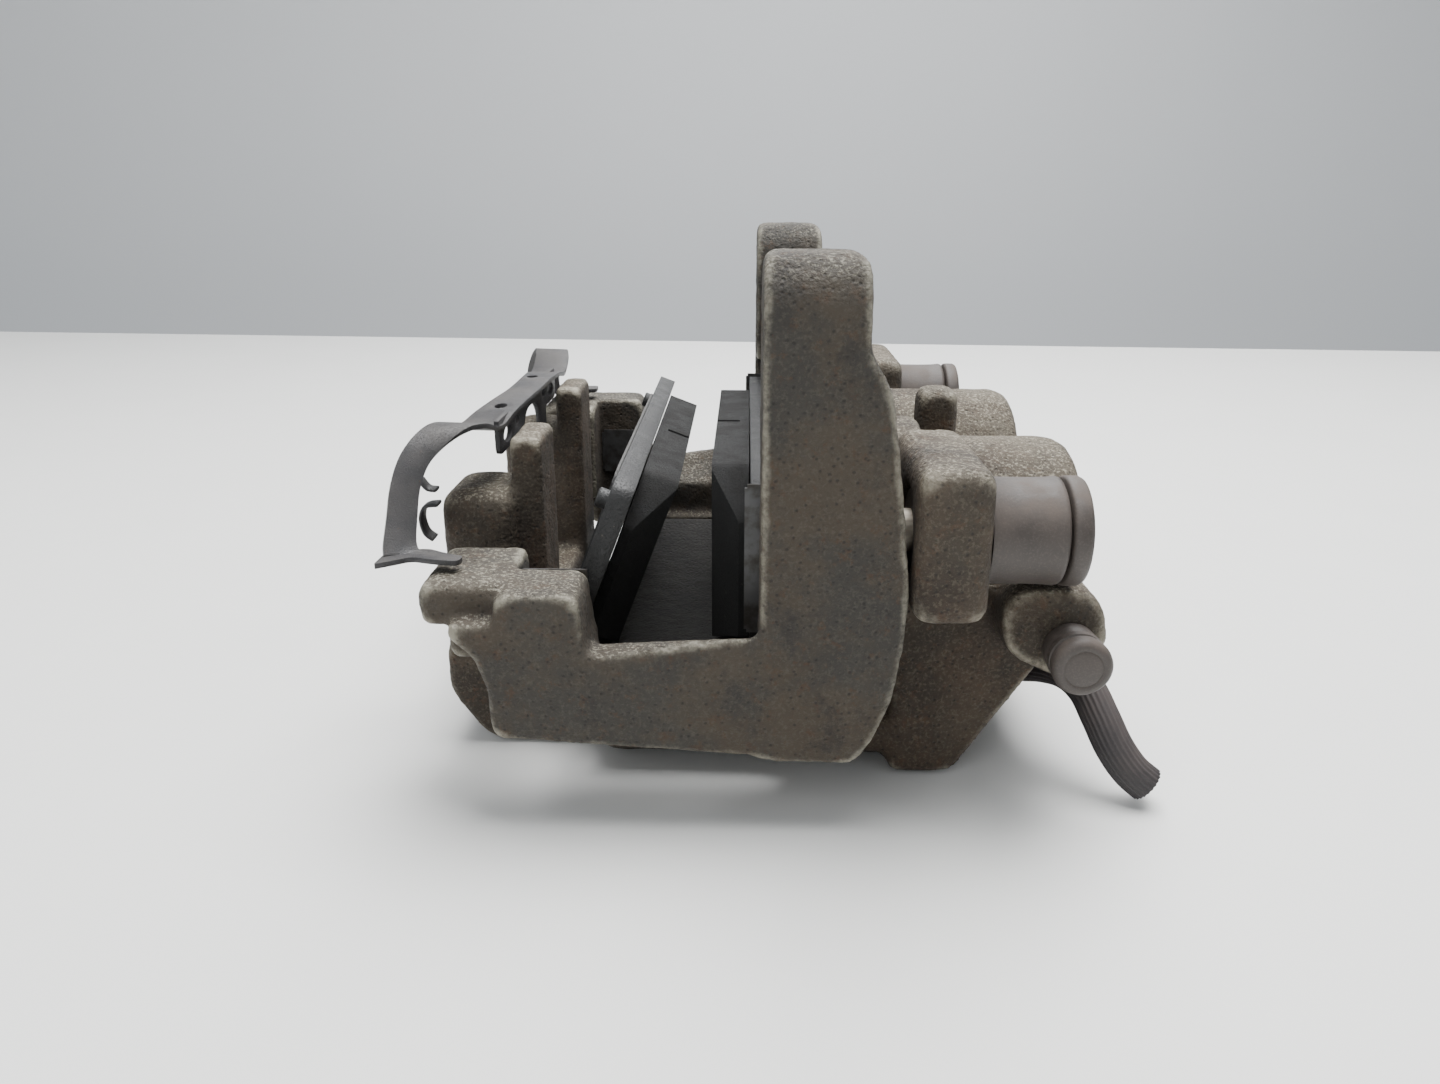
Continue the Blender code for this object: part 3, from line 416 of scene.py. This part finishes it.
def casting_finish(name, iron, brown, rust, dusty, bare, wear, dust_amount):
    """Cast iron with brown and rust patches, stains, dark pits, dust, a crust on top, worn corners, painted
    shade in inner corners, and painted shade with soot in the mouth.
    """
    material, tree, shader, place = new_material(name, 0.8)
    skin = placed(tree, cast_skin, Place=place, Grain=900.0)
    dust = placed(tree, dust_fall, Place=place, Scale=42.0)
    wear_and_shade_at = placed(tree, wear_and_corner_shade, Place=place, Amount=wear)
    colour = mixed(tree, stepped(tree, noise_at(tree, place, 34.0, 7.0, 0.7), 0.40, 0.60), iron, brown)
    freckles = stepped(tree, noise_at(tree, place, 230.0, 5.0, 0.75), 0.54, 0.66)
    colour = mixed(tree, times(tree, freckles, 0.7), colour, rust)
    stains = stepped(tree, noise_at(tree, place, 75.0, 6.0, 0.7), 0.54, 0.68)
    colour = mixed(tree, times(tree, stains, 0.6), colour, OIL_STAIN)
    colour = mixed(tree, times(tree, dust["Mask"], dust_amount, True), colour, dusty)
    colour = mixed(tree, times(tree, dust["Speckle"], 0.30), colour, dusty)
    colour = mixed(tree, stepped(tree, skin["Pits"], 0.0, 1.0, 0.55, 0.0), colour, PIT_DIRT)
    # Painted shade: inner corners darkened by the stored hollow value.
    colour = mixed(tree, times(tree, wear_and_shade_at["Hollow"], 0.7, True), colour, PAINTED_CORNER_SHADE)
    colour = mixed(tree, times(tree, dust["Crust"], 0.8), colour, bare)
    colour = mixed(tree, times(tree, wear_and_shade_at["Mask"], 0.85), colour, bare)
    at = tree.nodes.new("ShaderNodeSeparateXYZ")
    tree.links.new(place, at.inputs["Vector"])
    # Painted shade with soot: the mouth over the disc's edge darkened to near black.
    soot_and_shade = 0.93
    for axis, faded, full in SOOT_AND_SHADE_LIMITS:
        along = math_of(tree, "ABSOLUTE", at.outputs["Y"]) if axis == "Y" else at.outputs[axis]
        soot_and_shade = times(tree, soot_and_shade, stepped(tree, along, faded, full))
    colour = mixed(tree, soot_and_shade, colour, SOOT_AND_SHADE)
    tree.links.new(colour, shader.inputs["Base Color"])
    tree.links.new(stepped(tree, wear_and_shade_at["Mask"], 0.0, 1.0, 0.82, 0.55), shader.inputs["Roughness"])
    tree.links.new(times(tree, wear_and_shade_at["Mask"], 0.35), shader.inputs["Metallic"])
    bumped(tree, shader, skin["Height"], 0.0011)
    return material


carrier_iron = casting_finish(
    "dusty_carrier_iron", iron=(0.027, 0.024, 0.020), brown=(0.043, 0.032, 0.021), rust=(0.050, 0.026, 0.012),
    dusty=(0.080, 0.071, 0.055), bare=(0.270, 0.252, 0.198), wear=1.2, dust_amount=0.55)
carrier = worn_casting("carrier", "carrier_casting", voxel=0.00115, softening=4, roughness=0.00030,
                       material=carrier_iron)

housing_iron = casting_finish(
    "rusty_housing_iron", iron=(0.023, 0.016, 0.010), brown=(0.042, 0.027, 0.016), rust=(0.056, 0.027, 0.012),
    dusty=(0.125, 0.107, 0.078), bare=(0.290, 0.265, 0.205), wear=1.0, dust_amount=0.70)
housing = worn_casting("housing", "housing_casting", voxel=0.0014, softening=3, roughness=0.00028,
                       material=housing_iron)


# ---------------------------------------------------------------- brake pads
# Two pads: a stamped steel backing plate painted black, a moulded friction block bonded to it with
# chamfered ends and a slot, and a thin coated shim. Road grime has left them nearly black.
def finish_node(node, material):
    """Gives a CAD node's own mesh a finish."""
    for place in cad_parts[node].material_slots:
        place.material = material


def grimy_finish(name, dark, light, scale, relief, rough, chips=None):
    """Dark material with lighter dusty patches, and pale chips where it is knocked."""
    material, tree, shader, place = new_material(name, rough)
    dust = placed(tree, dust_fall, Place=place, Scale=scale)
    colour = mixed(tree, times(tree, dust["Mask"], 0.8), dark, light)
    if chips:
        knocked = stepped(tree, noise_at(tree, place, scale * 3.5, 6.0, 0.75), 0.64, 0.70)
        colour = mixed(tree, knocked, colour, chips)
    tree.links.new(colour, shader.inputs["Base Color"])
    dulled = stepped(tree, dust["Mask"], 0.0, 1.0, rough, min(rough + 0.2, 1.0))
    tree.links.new(dulled, shader.inputs["Roughness"])
    grit = noise_at(tree, place, scale * 14.0, 4.0, 0.65)
    bumped(tree, shader, math_of(tree, "ADD", grit, dust["Speckle"]), relief)
    return material


plate_paint = grimy_finish("worn_plate_paint", dark=(0.008, 0.008, 0.008), light=(0.036, 0.036, 0.037),
                           scale=60.0, relief=0.00010, rough=0.48, chips=(0.13, 0.11, 0.09))
friction_block = grimy_finish("friction_block", dark=(0.005, 0.005, 0.005), light=(0.018, 0.017, 0.016),
                              scale=120.0, relief=0.00035, rough=0.80, chips=(0.035, 0.032, 0.030))
shim_coat = grimy_finish("coated_shim", dark=(0.030, 0.030, 0.030), light=(0.090, 0.085, 0.080),
                         scale=80.0, relief=0.00005, rough=0.50)


def baked(obj, *modifiers):
    """The object's mesh with these modifiers applied: each is (type, settings)."""
    for kind, settings in modifiers:
        modifier = obj.modifiers.new(kind.lower(), kind)
        for label, value in settings.items():
            setattr(modifier, label, value)
    bpy.context.view_layer.update()
    mesh = bpy.data.meshes.new_from_object(obj.evaluated_get(bpy.context.evaluated_depsgraph_get()))
    obj.modifiers.clear()
    obj.data = mesh
    return obj


def rounded(width, angle):
    """A bevel for edges sharper than the angle, in degrees."""
    bevel = {"width": width, "segments": 2, "limit_method": "ANGLE", "angle_limit": math.radians(angle)}
    return "BEVEL", bevel


def softened_copy(node, name, body, material, width):
    """The CAD shape with its sharp edges rounded as stamping and moulding leave them."""
    piece = link(merged_copy(node, name), name, material)
    baked(piece, rounded(width, 35))
    shade(piece.data)
    piece.data.set_sharp_from_angle(angle=math.radians(40))
    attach(piece, body)
    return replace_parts(piece, node)


for row in ("inner", "outer"):
    softened_copy(f"{row}_pad_plate", f"{row}_backing_plate", f"{row}_pad", plate_paint, 0.0006)
    softened_copy(f"{row}_pad_lining", f"{row}_friction_block", f"{row}_pad", friction_block, 0.0005)
    finish_node(f"{row}_pad_shim", shim_coat)


# ---------------------------------------------------------------- retaining spring
# Pressed from one piece of spring steel with a dark coat: a band over the finger tips, a web with
# windows behind them, and at each end a wavy strap with a foot that bears on the carrier.
SPRING_SHEET = 0.0014
TANG_SHEET = 0.0012
STRIP_STEPS, CORNER_STEPS = 5, 4
WEB_X = -71.6
NEAR_FOOT_Z, FAR_FOOT_Z = 69.4, 81.6
spring_coat = grimy_finish("coated_spring_steel", dark=(0.026, 0.025, 0.027), light=(0.072, 0.066, 0.062),
                           scale=90.0, relief=0.00008, rough=0.42, chips=(0.075, 0.045, 0.030))


def flat_plate(name, corners, axis, middle):
    """A flat plate of the spring's sheet, square to X or Z, from (u, v, rounding) corners in millimetres."""
    outline = []
    for index, (u, v, radius) in enumerate(corners):
        here = Vector((u, v))
        before = Vector(corners[index - 1][:2]) - here
        after = Vector(corners[(index + 1) % len(corners)][:2]) - here
        reach = min(radius, before.length * 0.45, after.length * 0.45)
        start, stop = here + before.normalized() * reach, here + after.normalized() * reach
        for step in range(CORNER_STEPS + 1):
            t = step / CORNER_STEPS
            outline.append(start * (1 - t) ** 2 + here * (2 * t * (1 - t)) + stop * t ** 2)
    made = bmesh.new()
    verts = []
    for u, v in outline:
        place = (middle, u, v) if axis == "X" else (u, v, middle)
        verts.append(made.verts.new(Vector(place) * MM))
    made.faces.new(verts)
    mesh = bpy.data.meshes.new(name)
    made.to_mesh(mesh)
    made.free()
    return baked(link(mesh, name, spring_coat), ("SOLIDIFY", {"thickness": SPRING_SHEET, "offset": 0.0}))


def bent_strip(name, rows, thickness):
    """A strip of sheet bent smoothly through rows of (one edge's point, the other edge's), in millimetres."""
    edges = [smooth_route([Vector(row[side]) * MM for row in rows], STRIP_STEPS) for side in (0, 1)]
    made = bmesh.new()
    across = [[made.verts.new(a.lerp(b, t)) for t in (0.0, 0.5, 1.0)] for a, b in zip(*edges)]
    for first, second in zip(across, across[1:]):
        for side in (0, 1):
            made.faces.new((first[side], first[side + 1], second[side + 1], second[side]))
    mesh = bpy.data.meshes.new(name)
    made.to_mesh(mesh)
    made.free()
    return baked(link(mesh, name, spring_coat), ("SOLIDIFY", {"thickness": thickness, "offset": 0.0}))


def round_cutter(name, place, along, reach, radius, stretch):
    """A pin to cut a hole with, its centre in millimetres, stretched along Y into a slot."""
    made = bmesh.new()
    turn = Vector((0, 0, 1)).rotation_difference(Vector(along)).to_matrix().to_4x4()
    bmesh.ops.create_cone(made, cap_ends=True, segments=24, radius1=radius, radius2=radius, depth=reach)
    set_down = Matrix.Translation(Vector(place) * MM) @ Matrix.Diagonal((1, stretch, 1, 1)) @ turn
    bmesh.ops.transform(made, matrix=set_down, verts=made.verts)
    mesh = bpy.data.meshes.new(name)
    made.to_mesh(mesh)
    made.free()
    return link(mesh, name, spring_coat)


def joined(target, operation, others):
    """One closed mesh from a piece and its helpers, which are then removed."""
    for other in others:
        baked(target, ("BOOLEAN", {"operation": operation, "solver": "EXACT", "object": other}))
        bpy.data.objects.remove(other)
    return target


band_rows = [
    ((-93.8, -87.0, 69.9), (-85.5, -82.5, 69.3)), ((-94.2, -85.2, 72.6), (-87.0, -80.6, 71.8)),
    ((-94.1, -81.0, 78.5), (-87.3, -77.0, 77.5)), ((-93.8, -77.0, 85.5), (-87.0, -73.4, 84.3)),
    ((-92.6, -72.6, 91.8), (-85.0, -70.0, 90.2)), ((-90.0, -68.0, 96.3), (-81.0, -66.2, 94.8)),
    ((-87.2, -62.6, 98.6), (-76.0, -61.4, 97.9)), ((-85.4, -56.0, 98.2), (-72.5, -55.2, 97.6)),
    ((-84.2, -49.0, 95.8), (-71.0, -48.6, 95.4)), ((-83.0, -42.0, 94.9), (-70.2, -42.0, 94.8)),
    ((-81.0, -33.0, 96.4), (-69.2, -33.0, 96.4)), ((-79.2, -20.0, 97.2), (-68.4, -20.0, 97.2)),
    ((-77.9, 0.0, 97.2), (-67.8, 0.0, 97.2)), ((-78.0, 20.0, 97.2), (-67.6, 20.0, 97.2)),
    ((-79.0, 36.0, 96.4), (-67.4, 36.0, 96.4)), ((-79.6, 46.0, 94.9), (-67.4, 46.0, 94.9)),
    ((-80.0, 54.0, 96.2), (-67.6, 54.0, 96.2)), ((-80.2, 60.5, 99.6), (-67.8, 60.0, 99.4)),
    ((-81.4, 66.0, 100.6), (-69.2, 65.2, 100.3)), ((-84.2, 70.4, 97.6), (-71.6, 69.2, 97.4)),
    ((-86.6, 74.2, 91.8), (-74.0, 72.6, 91.6)), ((-87.8, 78.4, 85.0), (-74.8, 76.4, 85.0)),
    ((-88.0, 83.0, 81.4), (-74.6, 80.4, 81.4))]
spring = bent_strip("retaining_spring_pressing", band_rows, SPRING_SHEET)
web = flat_plate("web", [
    (-47, 97.2, 0.5), (45, 97.2, 0.5), (45, 86.9, 3), (25.6, 86.9, 2), (23.6, 71, 8), (-23.6, 71, 8),
    (-25.6, 86.9, 2), (-47, 86.9, 3)], "X", WEB_X)
near_foot = flat_plate("near_foot", [
    (-94.4, -93.2, 1), (-90.0, -90.0, 3), (-86.4, -87.2, 2), (-80.0, -89.4, 3), (-73.6, -90.2, 1.5),
    (-73.0, -86.2, 1.5), (-78.0, -84.2, 3), (-83.6, -80.6, 2), (-88.5, -81.4, 2), (-94.2, -85.2, 2)],
    "Z", NEAR_FOOT_Z)
far_foot = flat_plate("far_foot", [
    (-88.8, 80.0, 1), (-74.4, 79.0, 2), (-61.0, 83.4, 1.5), (-61.0, 90.4, 1.5), (-74.0, 91.0, 4),
    (-88.0, 94.6, 2)], "Z", FAR_FOOT_Z)
upper_tang = bent_strip("retaining_spring_upper_tang", [
    ((-86.8, -60.5, 80.0), (-86.8, -55.5, 80.0)), ((-89.4, -60.5, 80.4), (-89.4, -55.5, 80.4)),
    ((-91.4, -60.5, 83.0), (-91.4, -55.5, 83.0))], TANG_SHEET)
lower_tang = bent_strip("retaining_spring_lower_tang", [
    ((-86.6, -61.0, 75.8), (-86.6, -55.0, 75.8)), ((-90.4, -61.0, 75.2), (-90.4, -55.0, 75.2)),
    ((-91.9, -61.0, 71.8), (-91.9, -55.0, 71.8)), ((-91.0, -61.0, 67.4), (-91.0, -55.0, 67.4)),
    ((-88.6, -61.0, 65.4), (-88.6, -55.0, 65.4))], TANG_SHEET)
joined(spring, "UNION", [web, near_foot, far_foot])
# Two oval holes in the band, four slots in the web, and the arch over the gap between the fingers,
# whose cutter is thickened to four sheets so that it passes right through.
cuts = [round_cutter("oval", (-74.6, y, 96), (0, 0, 1), 0.01, 0.0019, 1.5) for y in (-27.0, 23.0)]
cuts += [round_cutter("slot", (WEB_X, y, 91.2), (1, 0, 0), 0.008, 0.0024, 2.2) for y in (-36.0, 35.0)]
cuts += [round_cutter("slot", (WEB_X, y, 92.4), (1, 0, 0), 0.008, 0.0014, 1.8) for y in (-22.0, 22.0)]
arch = flat_plate("arch", [
    (-14, 75.5, 2), (14, 75.5, 2), (14, 87, 6), (7, 92.5, 4), (-7, 92.5, 4), (-14, 87, 6)], "X", WEB_X)
for vert in arch.data.vertices:
    vert.co.x = WEB_X * MM + (vert.co.x - WEB_X * MM) * 4
joined(spring, "DIFFERENCE", [*cuts, arch])
baked(spring, rounded(0.00028, 50))
shade(spring.data)
for tang in (upper_tang, lower_tang):
    baked(tang, ("SUBSURF", {"levels": 1, "render_levels": 1}))
    shade(tang.data)
for piece in (spring, upper_tang, lower_tang):
    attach(piece, "housing")
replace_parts(spring, "retaining_spring")

# ---------------------------------------------------------------- guide bushes, caps and bleed cap
# Moulded rubber: a sleeve pushed through each lug of the housing with a plug-in end cap, and the
# little cap that keeps dirt out of the bleed screw. Their skin is smooth and dusty brown.
TURNED_STEPS = 72
bush_rubber = rubber_finish("dusty_bush_rubber", (0.038, 0.031, 0.027), (0.110, 0.088, 0.074), 0.9)


def turned_piece(name, node, axis, profile, material, body=None):
    """A closed turned shape round a node's own axis. The profile is (distance along it, radius) in
    millimetres. Without a body, it is attached to none."""
    low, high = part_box(node)
    middle = (low + high) / 2
    along = "XYZ".index(axis)
    others = [i for i in range(3) if i != along]
    made = bmesh.new()
    rings = []
    for distance, radius in profile:
        ring = []
        for step in range(TURNED_STEPS if radius else 1):
            turn = 2 * math.pi * step / TURNED_STEPS
            place = Vector(middle)
            place[along] = distance * MM
            place[others[0]] += radius * MM * math.cos(turn)
            place[others[1]] += radius * MM * math.sin(turn)
            ring.append(made.verts.new(place))
        rings.append(ring)
    for first, second in zip(rings, rings[1:] + rings[:1]):
        if len(first) == len(second) == 1:
            continue
        for step in range(TURNED_STEPS):
            quad = [first[step % len(first)], first[(step + 1) % len(first)],
                    second[(step + 1) % len(second)], second[step % len(second)]]
            made.faces.new(list(dict.fromkeys(quad)))
    bmesh.ops.recalc_face_normals(made, faces=made.faces)
    mesh = bpy.data.meshes.new(name)
    made.to_mesh(mesh)
    made.free()
    shade(mesh)
    mesh.set_sharp_from_angle(angle=math.radians(50))
    piece = link(mesh, name, material)
    if body:
        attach(piece, body)
    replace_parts(piece, node)
    return piece


for side in ("near", "far"):
    # The sleeve: a rib where it meets the lug, a slow taper, a soft shoulder, and the groove under the cap.
    turned_piece(f"guide_sleeve_{side}", f"guide_bush_{side}", "X", [
        (41.8, 10.5), (58.8, 10.5), (59.9, 11.0), (59.9, 14.0), (60.9, 14.0), (61.5, 13.6), (70.0, 13.5),
        (75.0, 13.6), (77.4, 13.9), (78.4, 13.6), (78.9, 12.6), (78.9, 9.0), (64.9, 9.0), (64.9, 5.4),
        (41.8, 5.4)], bush_rubber, "housing")
    turned_piece(f"guide_plug_{side}", f"guide_cap_{side}", "X", [
        (79.4, 0.0), (79.4, 13.3), (79.9, 13.9), (80.6, 14.0), (83.2, 14.0), (84.1, 13.5), (84.5, 12.4),
        (84.3, 9.0), (83.6, 8.2), (83.6, 0.0)], bush_rubber, "housing")
cap_low, cap_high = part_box("bleed_cap")
face, root = cap_low.y / MM, cap_high.y / MM
turned_piece("bleed_screw_cap", "bleed_cap", "Y", [
    (face, 0.0), (face, 4.2), (face + 0.3, 4.8), (face, 5.4), (face + 0.3, 6.6), (face + 1.2, 7.4),
    (face + 2.4, 7.6), (face + 4.2, 7.5), (face + 4.7, 6.7), (face + 5.3, 6.6), (face + 5.8, 7.3),
    (face + 7.5, 7.4), (face + 8.0, 6.8), (face + 8.5, 6.8), (face + 9.0, 7.2), (root, 7.0), (root, 4.6),
    (face + 4.0, 4.6), (face + 2.5, 3.0), (face + 2.5, 0.0)], bush_rubber, "bleed_cap")

# ---------------------------------------------------------------- pistons, seals and dust boots
# Chromed steel cups run in the bores, each with a square-section seal and a folded rubber boot.
black_seal = rubber_finish("black_seal_rubber", (0.012, 0.012, 0.012), (0.060, 0.055, 0.050), 0.6)
for side in ("near", "far"):
    finish_node(f"piston_seal_{side}", black_seal)
    # The boot's lip sits in the piston's groove and its root in the housing, with a fold between.
    boot_low, boot_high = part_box(f"dust_boot_{side}")
    lip, root = boot_low.x / MM, boot_high.x / MM
    boot = turned_piece(f"folded_boot_{side}", f"dust_boot_{side}", "X", [
        (root, 26.7), (lip + 4.0, 26.7), (lip + 3.4, 24.8), (lip + 2.0, 26.2), (lip, 25.0), (lip, 22.7),
        (lip + 1.2, 22.7), (lip + 2.0, 24.2), (lip + 3.6, 23.2), (lip + 6.0, 24.0), (root, 24.0)], black_seal)
    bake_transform(boot)


def plated_finish(name, plate, dull, grime, rough, metal):
    """Machined and plated steel, dulled in patches and dirty in its low spots."""
    material, tree, shader, place = new_material(name, rough, metal)
    dust = placed(tree, dust_fall, Place=place, Scale=110.0)
    colour = mixed(tree, stepped(tree, noise_at(tree, place, 150.0, 5.0, 0.6), 0.4, 0.65), plate, dull)
    colour = mixed(tree, times(tree, dust["Mask"], 0.7), colour, grime)
    tree.links.new(colour, shader.inputs["Base Color"])
    tree.links.new(stepped(tree, dust["Mask"], 0.0, 1.0, rough, 0.75), shader.inputs["Roughness"])
    tree.links.new(stepped(tree, dust["Mask"], 0.0, 1.0, metal, metal * 0.4), shader.inputs["Metallic"])
    bumped(tree, shader, noise_at(tree, place, 1900.0, 3.0), 0.00002)
    return material


chromed = plated_finish("chromed_piston", plate=(0.55, 0.55, 0.54), dull=(0.42, 0.40, 0.37),
                        grime=(0.16, 0.12, 0.09), rough=0.25, metal=0.95)
finish_node("piston_near", chromed)
finish_node("piston_far", chromed)

# ---------------------------------------------------------------- pins, clips, bleed screw and hose end
# Zinc-plated steel gone dull, stainless clips in the carrier's channels, copper washers crushed
# each side of the hose's eye.
zinc = plated_finish("dull_zinc_plate", plate=(0.40, 0.37, 0.31), dull=(0.28, 0.24, 0.19),
                     grime=(0.14, 0.10, 0.07), rough=0.45, metal=0.85)
for name in ("guide_pin_near", "guide_pin_far", "bleed_screw", "banjo_bolt", "hose_fitting"):
    finish_node(name, zinc)
stainless = plated_finish("stainless_clip", plate=(0.10, 0.10, 0.10), dull=(0.05, 0.045, 0.04),
                          grime=(0.025, 0.022, 0.02), rough=0.5, metal=0.6)
for side in ("near", "far"):
    finish_node(f"inner_pad_clip_{side}", stainless)
    finish_node(f"outer_pad_clip_{side}", stainless)
copper = plated_finish("crushed_copper", plate=(0.48, 0.24, 0.13), dull=(0.30, 0.15, 0.09),
                       grime=(0.12, 0.07, 0.05), rough=0.4, metal=0.9)
finish_node("banjo_washer_inner", copper)
finish_node("banjo_washer_outer", copper)


# ---------------------------------------------------------------- bench, backdrop and light
# A pale bench top that ends behind the caliper, a plain light wall, and large soft lamps overhead.
def stage_sheet(name, corners, colour, scale):
    """One flat sheet of the setting, its colour clouded by a few percent."""
    mesh = bpy.data.meshes.new(name)
    mesh.from_pydata(corners, [], [(0, 1, 2, 3)])
    material, tree, shader, place = new_material(name, 0.6)
    shadow = tuple(value * 0.94 for value in colour)
    clouded = mixed(tree, noise_at(tree, place, scale, 6.0, 0.6), colour, shadow)
    tree.links.new(clouded, shader.inputs["Base Color"])
    link(mesh, name, material)


stage_sheet("bench_top", [(-2.5, -1.5, 0), (2.5, -1.5, 0), (2.5, 0.62, 0), (-2.5, 0.98, 0)],
            (0.80, 0.80, 0.78), 14.0)
stage_sheet("back_wall", [(-4, 1.5, -2), (4, 1.5, -2), (4, 1.5, 3), (-4, 1.5, 3)], (0.68, 0.69, 0.70), 2.0)
world = bpy.data.worlds.new("studio")
world.use_nodes = True
sky = world.node_tree.nodes["Background"]
sky.inputs["Color"].default_value = (0.90, 0.95, 1.0, 1.0)
sky.inputs["Strength"].default_value = 0.52
bpy.context.scene.world = world
LAMP_SIZE = 0.9
LAMP_TARGET = Vector((0, 0, 0.05))
for name, place, power in (("lamp_over", (0.1, 0.15, 1.1), 36.0), ("lamp_back", (0.3, 1.2, 1.1), 12.0),
                           ("lamp_front", (-0.5, -1.2, 0.9), 5.0)):
    lamp = bpy.data.lights.new(name, "AREA")
    lamp.size = LAMP_SIZE
    lamp.energy = power
    lamp_object = bpy.data.objects.new(name, lamp)
    bpy.context.scene.collection.objects.link(lamp_object)
    lamp_object.location = place
    lamp_object.rotation_euler = (LAMP_TARGET - Vector(place)).to_track_quat("-Z", "Y").to_euler()
